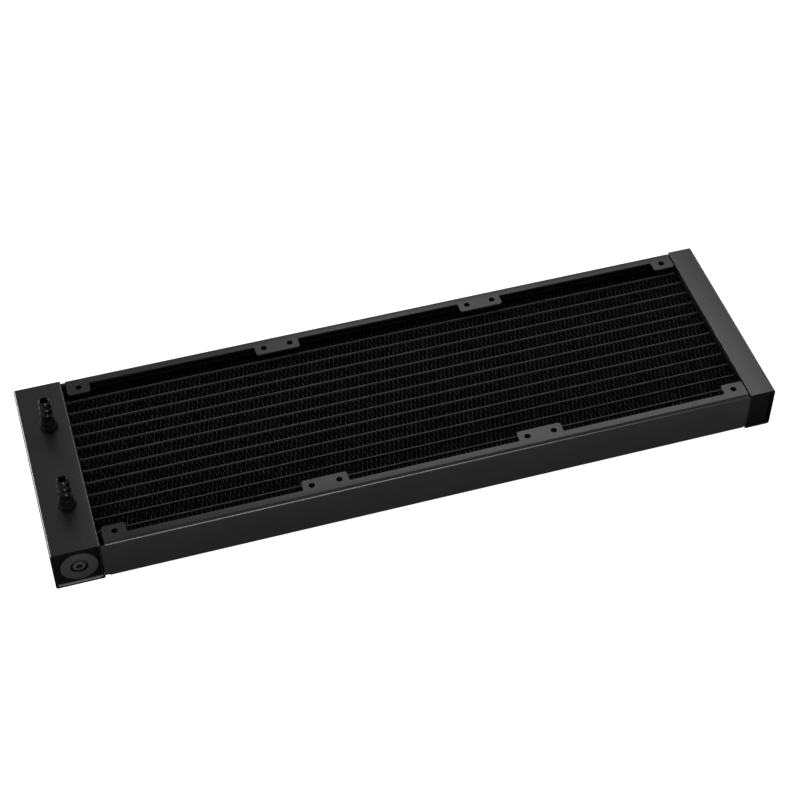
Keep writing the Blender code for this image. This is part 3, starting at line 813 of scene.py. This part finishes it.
def tab_spans():
    """Where the tabs start and end in X, in order."""
    left, right = FAN_ROW_CENTRE - FLANGE_LENGTH / 2, FAN_ROW_CENTRE + FLANGE_LENGTH / 2
    middles = [FAN_ROW_CENTRE + (i - (FANS - 2) / 2) * FAN_PITCH for i in range(FANS - 1)]
    spans = [(x - MIDDLE_TAB_WIDTH / 2, x + MIDDLE_TAB_WIDTH / 2) for x in middles]
    return [(left, left + END_TAB_WIDTH), *spans, (right - END_TAB_WIDTH, right)]


def flange_outline(sign, fold, tip):
    """A flange with its tabs in X and Y, from the fold's Y to the tabs' tips."""
    spans = tab_spans()
    edge = fold - sign * (FLANGE_WIDTH - RAIL_FOLD_RADIUS)
    left, right = spans[0][0], spans[-1][1]
    corners = [(right, fold, 0), (left, fold, 0), (left, tip, TAB_CORNER_RADIUS)]
    for i, (start, end) in enumerate(spans):
        if i > 0:
            corners += [(start, edge, TAB_ROOT_RADIUS), (start, tip, TAB_CORNER_RADIUS)]
        if i < len(spans) - 1:
            corners += [(end, tip, TAB_CORNER_RADIUS), (end, edge, TAB_ROOT_RADIUS)]
    corners.append((right, tip, TAB_CORNER_RADIUS))
    return rounded(corners)


def screw_holes(y):
    fans = [FAN_ROW_CENTRE + (i - (FANS - 1) / 2) * FAN_PITCH for i in range(FANS)]
    places = [fan + side * FAN_HOLE_SPACING / 2 for fan in fans for side in (-1, 1)]
    return [ring_of(SCREW_HOLE_RADIUS, (x, y), HOLE_STEPS) for x in places]


def fold_section(outer, sign, height, up):
    """The quarter round between a flange and the wall, in Y and Z."""
    radius, sheet = RAIL_FOLD_RADIUS, RAIL_SHEET
    centre_y, centre_z = outer - sign * radius, height - up * radius
    angles = [math.pi / 2 * i / CURVE_STEPS for i in range(CURVE_STEPS + 1)]

    def quarter(size):
        return [(centre_y + sign * size * math.sin(a), centre_z + up * size * math.cos(a)) for a in angles]

    return [Vector(p) for p in quarter(radius) + quarter(radius - sheet)[::-1]]


def rails():
    left, right = tab_spans()[0][0], tab_spans()[-1][1]
    for side, sign in (("near", -1), ("far", 1)):
        node = f"frame_rail_{side}"
        low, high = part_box(node)
        outer, tip = (high.y, low.y) if sign > 0 else (low.y, high.y)
        fold = outer - sign * RAIL_FOLD_RADIUS
        outline = flange_outline(sign, fold, tip)
        holes = screw_holes(sign * FAN_HOLE_SPACING / 2)
        faces = sorted((outer, outer - sign * RAIL_SHEET))
        bottom, top = RAIL_FOLD_RADIUS, THICKNESS - RAIL_FOLD_RADIUS
        ends = (BAY_LEFT + GAP, BAY_RIGHT - GAP)
        wall = [(ends[0], bottom), (left, bottom), (right, bottom), (ends[1], bottom)]
        wall += [(x, top) for x, _ in reversed(wall)]
        solids = [
            slab([outline, *holes], THICKNESS - RAIL_SHEET, THICKNESS),
            slab([outline, *holes], 0, RAIL_SHEET),
            slab([fold_section(outer, sign, THICKNESS, 1)], left, right, ALONG_X),
            slab([fold_section(outer, sign, 0, -1)], left, right, ALONG_X),
            slab([wall], *faces, ALONG_Y),
        ]
        made = piece(f"rail_{side}", welded(solids), COAT, [node])
        soften(made, SHEET_SOFTENING)


# ---------------------------------------------------------------- hose fittings


def fitting_profile(bottom, top):
    """Half of the barb's section, (radius, height): bore, shank, ridges and mouth."""
    edge = FITTING_EDGE
    profile = [(BORE_RADIUS, bottom), (SHANK_RADIUS - edge, bottom), (SHANK_RADIUS, bottom + edge)]
    profile.append((SHANK_RADIUS, COLLAR_TOP))
    for i in range(BARBS):
        root = BARB_ROOT_RADIUS - i * BARB_NARROWING
        height = BARB_HEIGHT + i * BARB_PITCH
        ridge = arc((root + BARB_SWELL, height), BARB_ROUND, *BARB_ARC, 9)
        profile += [(root, ridge[0][1] - edge), *ridge]
        profile.append((root + BARB_SLOPE[0], height + BARB_SLOPE[1]))
    lip = (MOUTH_RADIUS - BORE_RADIUS) / 2
    return profile + arc((BORE_RADIUS + lip, top - lip), lip, 0, 180, 8)


def hose_fittings():
    for name in ("inlet", "outlet"):
        low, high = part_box(f"{name}_hose_fitting")
        centre = (low + high) / 2
        place = (centre.x, centre.y, THICKNESS)
        profile = fitting_profile(low.z - THICKNESS, high.z - THICKNESS)
        body = turned(profile, place, steps=FINE_ROUND_STEPS)
        piece(f"{name}_barb", body, ANODISED, [f"{name}_hose_fitting"])
        collar = [(SHANK_RADIUS + GAP, HEX_BOTTOM), (COLLAR_RADIUS, HEX_BOTTOM)]
        edge = (COLLAR_RADIUS - COLLAR_EDGE_RADIUS, COLLAR_TOP - COLLAR_EDGE_RADIUS)
        collar += arc(edge, COLLAR_EDGE_RADIUS, 0, 90, 6)
        collar.append((SHANK_RADIUS + GAP, COLLAR_TOP))
        piece(f"{name}_collar", turned(collar, place), NUT_BLACK)
        nut = chamfered_hexagon(HEX_FLATS, COLLAR_RADIUS + GAP, HEX_BOTTOM, HEX_TOP, place, turn=HEX_TURN)
        piece(f"{name}_hexagon", nut, NUT_BLACK)
        seal = ring_of((HEX_BOTTOM - GAP) / 2, (SEAL_RADIUS, HEX_BOTTOM / 2), SEAL_STEPS)
        piece(f"{name}_seal", turned(seal, place), RUBBER, [f"{name}_fitting_seal"])


# ---------------------------------------------------------------- pressure relief port


def depths(node):
    """Where the piece starts and ends behind the tank's near end."""
    low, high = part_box(node)
    return low.y + HALF_WIDTH, high.y + HALF_WIDTH


def radius_of(node):
    low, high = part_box(node)
    return (high.x - low.x) / 2


def relief_port():
    centre = middle("relief_disc")
    mouth = Vector((centre.x, -HALF_WIDTH, centre.z))
    port_disc(mouth)
    relief_plug(mouth)
    port_gasket(mouth)
    lock_nut(mouth)
    bladder(mouth)


def port_disc(mouth):
    radius, soft = radius_of("relief_disc"), DISC_EDGE_RADIUS
    face, neck_end = depths("relief_disc")
    back = depths("wide_tank_near_cap")[0] - GAP
    disc = [
        (WELL_RADIUS, face + 0.12 * MM),
        (WELL_RADIUS + 0.12 * MM, face),
        (radius - soft, face),
        (radius - soft * 0.3, face + soft * 0.3),
        (radius, face + soft),
        (radius, back),
        (NECK_RADIUS, back),
        (NECK_RADIUS, neck_end - soft),
        (NECK_RADIUS - soft, neck_end),
        (NECK_BORE_RADIUS, neck_end),
        (NECK_BORE_RADIUS, WELL_DEPTH),
        (WELL_RADIUS - 0.2 * MM, WELL_DEPTH),
        (WELL_RADIUS, WELL_DEPTH - 0.2 * MM),
    ]
    mesh = turned(disc, mouth, ALONG_Y, FINE_ROUND_STEPS)
    piece("relief_port", mesh, RELIEF_GREY, ["relief_disc"])


def relief_plug(mouth):
    """The plug with its socket and vent, and the black ring round its head. The socket's inside and the ring
    are black as painted shade.
    """
    head = radius_of("vent_plug") - PLUG_TRIM
    face, end = depths("vent_plug")
    seat = WELL_DEPTH - GAP
    plug = [
        (VENT_RADIUS, face + 0.2 * MM),
        (VENT_RADIUS + 0.2 * MM, face),
        (head - 0.6 * MM, face),
        (head - 0.15 * MM, face + 0.2 * MM),
        (head, face + 0.55 * MM),
        (head, seat),
        (PLUG_SHANK_RADIUS, seat),
        (PLUG_SHANK_RADIUS, end),
        (VENT_RADIUS, end),
    ]
    made = piece("relief_plug", turned(plug, mouth, ALONG_Y), PLUG_BLACK, ["vent_plug"])
    socket = ring_of(SOCKET_FLATS / math.sqrt(3), (mouth.x, mouth.z), 6)
    cut(made, slab([socket], mouth.y - 1 * MM, mouth.y + face + SOCKET_DEPTH, ALONG_Y))
    # the socket's inside is coloured black: painted shade
    made.data.materials.append(PAINTED_SHADE_BLACK)
    for polygon in made.data.polygons:
        centre = polygon.center - mouth
        from_middle = math.hypot(centre.x, centre.z)
        if from_middle < SOCKET_FLATS / 2 + 0.1 * MM and centre.y > face + 0.3 * MM:
            polygon.material_index = 1  # inside the socket

    disc_face = depths("relief_disc")[0]
    seal = [
        (head + GAP, WELL_DEPTH - 0.8 * MM),
        (WELL_RADIUS - 0.3 * MM, WELL_DEPTH - 0.8 * MM),
        (WELL_RADIUS - 0.2 * MM, disc_face + 0.5 * MM),
        (WELL_RADIUS - GAP, disc_face + 0.4 * MM),
        (WELL_RADIUS - GAP, WELL_DEPTH - 0.3 * MM),
        (WELL_RADIUS - 0.3 * MM, seat),
        (head + GAP, seat),
    ]
    # a black ring lining the groove round the plug's head: its black is painted shade
    piece("plug_groove_shade_ring", turned(seal, mouth, ALONG_Y), PAINTED_SHADE_BLACK)


def port_gasket(mouth):
    radius, bulge = radius_of("relief_gasket"), 0.2 * MM
    start, end = depths("relief_gasket")
    gasket = [(NECK_RADIUS + GAP, start), (radius - bulge, start), (radius, start + bulge)]
    gasket += [(radius, end - bulge), (radius - bulge, end), (NECK_RADIUS + GAP, end)]
    piece("port_gasket", turned(gasket, mouth, ALONG_Y), RUBBER, ["relief_gasket"])


def lock_nut(mouth):
    low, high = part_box("relief_lock_nut")
    nut = chamfered_hexagon(high.z - low.z, NECK_RADIUS + GAP, *depths("relief_lock_nut"), mouth, ALONG_Y)
    piece("lock_nut", nut, ALUMINIUM, ["relief_lock_nut"])


def bladder(mouth):
    """A rubber sleeve with a closed end, waved like a bellows."""
    radius, wall, steps = radius_of("relief_bladder"), BLADDER_WALL, 6
    start, end = depths("relief_bladder")
    waves_start, waves_end = depths("relief_disc")[1] + 1 * MM, end - 2.5 * MM
    outside = [(radius, start), (radius, waves_start)]
    for i in range(1, BLADDER_WAVES * steps):
        dip = BLADDER_WAVE_DEPTH * (1 - math.cos(math.tau * i / steps)) / 2
        height = waves_start + (waves_end - waves_start) * i / (BLADDER_WAVES * steps)
        outside.append((radius - dip, height))
    inside = [(distance - wall, height) for distance, height in outside]
    outside += [(radius, end - 2.4 * MM), (radius - 0.6 * MM, end - 0.8 * MM)]
    outside += [(radius - 2 * MM, end), (0, end)]
    inside += [(radius - wall, end - 2.6 * MM), (radius - 2.4 * MM, end - wall), (0, end - wall)]
    sleeve = turned(outside[::-1] + inside, mouth, ALONG_Y, is_loop=False)
    piece("bladder", sleeve, RUBBER, ["relief_bladder"])


# ---------------------------------------------------------------- pieces kept from the CAD


def kept_pieces():
    looks = {
        "core_side_channel_near": CHANNEL_COAT,
        "core_side_channel_far": CHANNEL_COAT,
        "wide_tank_baffle": ALUMINIUM,
        "inlet_fitting_boss": ALUMINIUM,
        "outlet_fitting_boss": ALUMINIUM,
    }
    for node, finish in looks.items():
        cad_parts[node].material_slots[0].material = finish


# ---------------------------------------------------------------- picture


def strength(tree, seen, unseen):
    """The strength seen for what the camera sees, and unseen for what lights or reflects."""
    path = tree.nodes.new("ShaderNodeLightPath")
    return spread(tree, path.outputs["Is Camera Ray"], unseen, seen, 0, 1)


def softbox(name, place, size, radiance):
    """A rectangular light at the place, turned to the object, and not seen by the camera."""
    data = bpy.data.lights.new(name, "AREA")
    data.shape = "RECTANGLE"
    data.size, data.size_y = size
    data.energy = math.pi * size[0] * size[1] * radiance
    made = bpy.data.objects.new(name, data)
    bpy.context.scene.collection.objects.link(made)
    made.location = place
    made.rotation_euler = Vector(place).to_track_quat("Z", "Y").to_euler()
    made.visible_camera = False


def floor_and_light():
    """A floor and studio that the camera sees white, and four softboxes for the object."""
    bpy.ops.mesh.primitive_plane_add(size=FLOOR_SIZE, location=(0, 0, -FLOOR_DROP))
    floor = bpy.context.object
    floor.name = "floor"
    paper, shader = look("pale_floor", (FLOOR_SHADE,) * 3, 0.9, specular=0.0)
    shader.inputs["Emission Color"].default_value = (1, 1, 1, 1)
    glow = strength(paper.node_tree, FLOOR_GLOW, 0)
    paper.node_tree.links.new(glow, shader.inputs["Emission Strength"])
    floor.data.materials.append(paper)

    world = bpy.data.worlds.new("studio")
    world.use_nodes = True
    tree = world.node_tree
    background = tree.nodes["Background"]
    background.inputs["Color"].default_value = (1, 1, 1, 1)
    tree.links.new(strength(tree, 1, WORLD_LIGHT), background.inputs["Strength"])
    bpy.context.scene.world = world

    softbox("front", (0.1, -1.45, 0.3), (0.7, 0.28), 16)
    softbox("back_right", (0.465, 0.732, 1.06), (0.834, 0.41), 2.4)
    softbox("back_left", (-1.0, 0.8, 0.3), (0.35, 0.3), 30)
    softbox("low_right", (1.05, 1.02, 0.36), (0.5, 0.12), 17)
    bpy.context.scene.view_settings.view_transform = "Standard"


def camera():
    data = bpy.data.cameras.new("camera")
    data.lens = CAMERA_LENS
    data.sensor_width = 36
    data.clip_start = 0.01
    made = bpy.data.objects.new("camera", data)
    made.location = CAMERA_PLACE
    made.rotation_euler = (CAMERA_TILT, 0, CAMERA_TURN)
    bpy.context.scene.collection.objects.link(made)
    bpy.context.scene.camera = made


tank_shells()
end_caps()
header_plates()
tubes()
fins()
rails()
hose_fittings()
relief_port()
kept_pieces()
floor_and_light()
camera()
